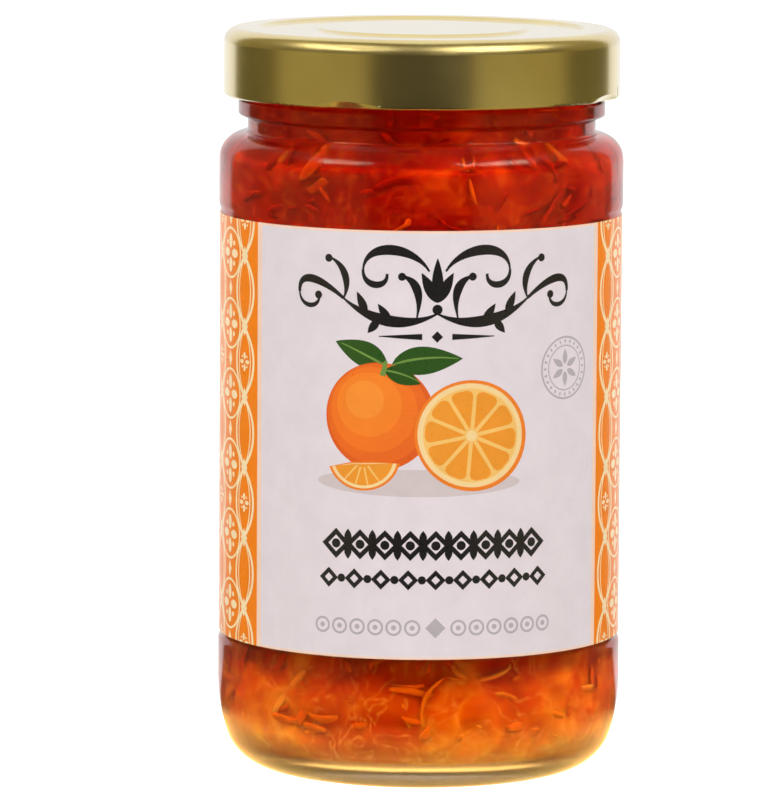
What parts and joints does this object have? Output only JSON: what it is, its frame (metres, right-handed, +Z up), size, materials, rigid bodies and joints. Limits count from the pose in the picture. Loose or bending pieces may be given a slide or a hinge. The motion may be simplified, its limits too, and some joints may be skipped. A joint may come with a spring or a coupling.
{
  "type": "jar of orange marmalade",
  "caption": "Round glass jar of orange marmalade with a gold twist-off cap and a wrap-round paper label.",
  "frame": {"origin": "middle of the jar's base, on the surface that it stands on", "axes": "+Z up along the jar's axis, -Y out of the middle of the label's front panel, +X to the right as seen from the front"},
  "size_m": [0.0606, 0.0606, 0.1114],
  "materials": {
    "glass": "clear flint glass, faintly green in the thick base",
    "marmalade": "translucent orange jelly with shreds of peel",
    "label": "coated paper, printed orange and cream with a pale front panel",
    "cap": "gold lacquered tinplate, satin to glossy"
  },
  "bodies": {
    "root": {"jar": "glass", "marmalade": "marmalade", "label": "label", "cap": "cap"}
  },
  "joints": []
}
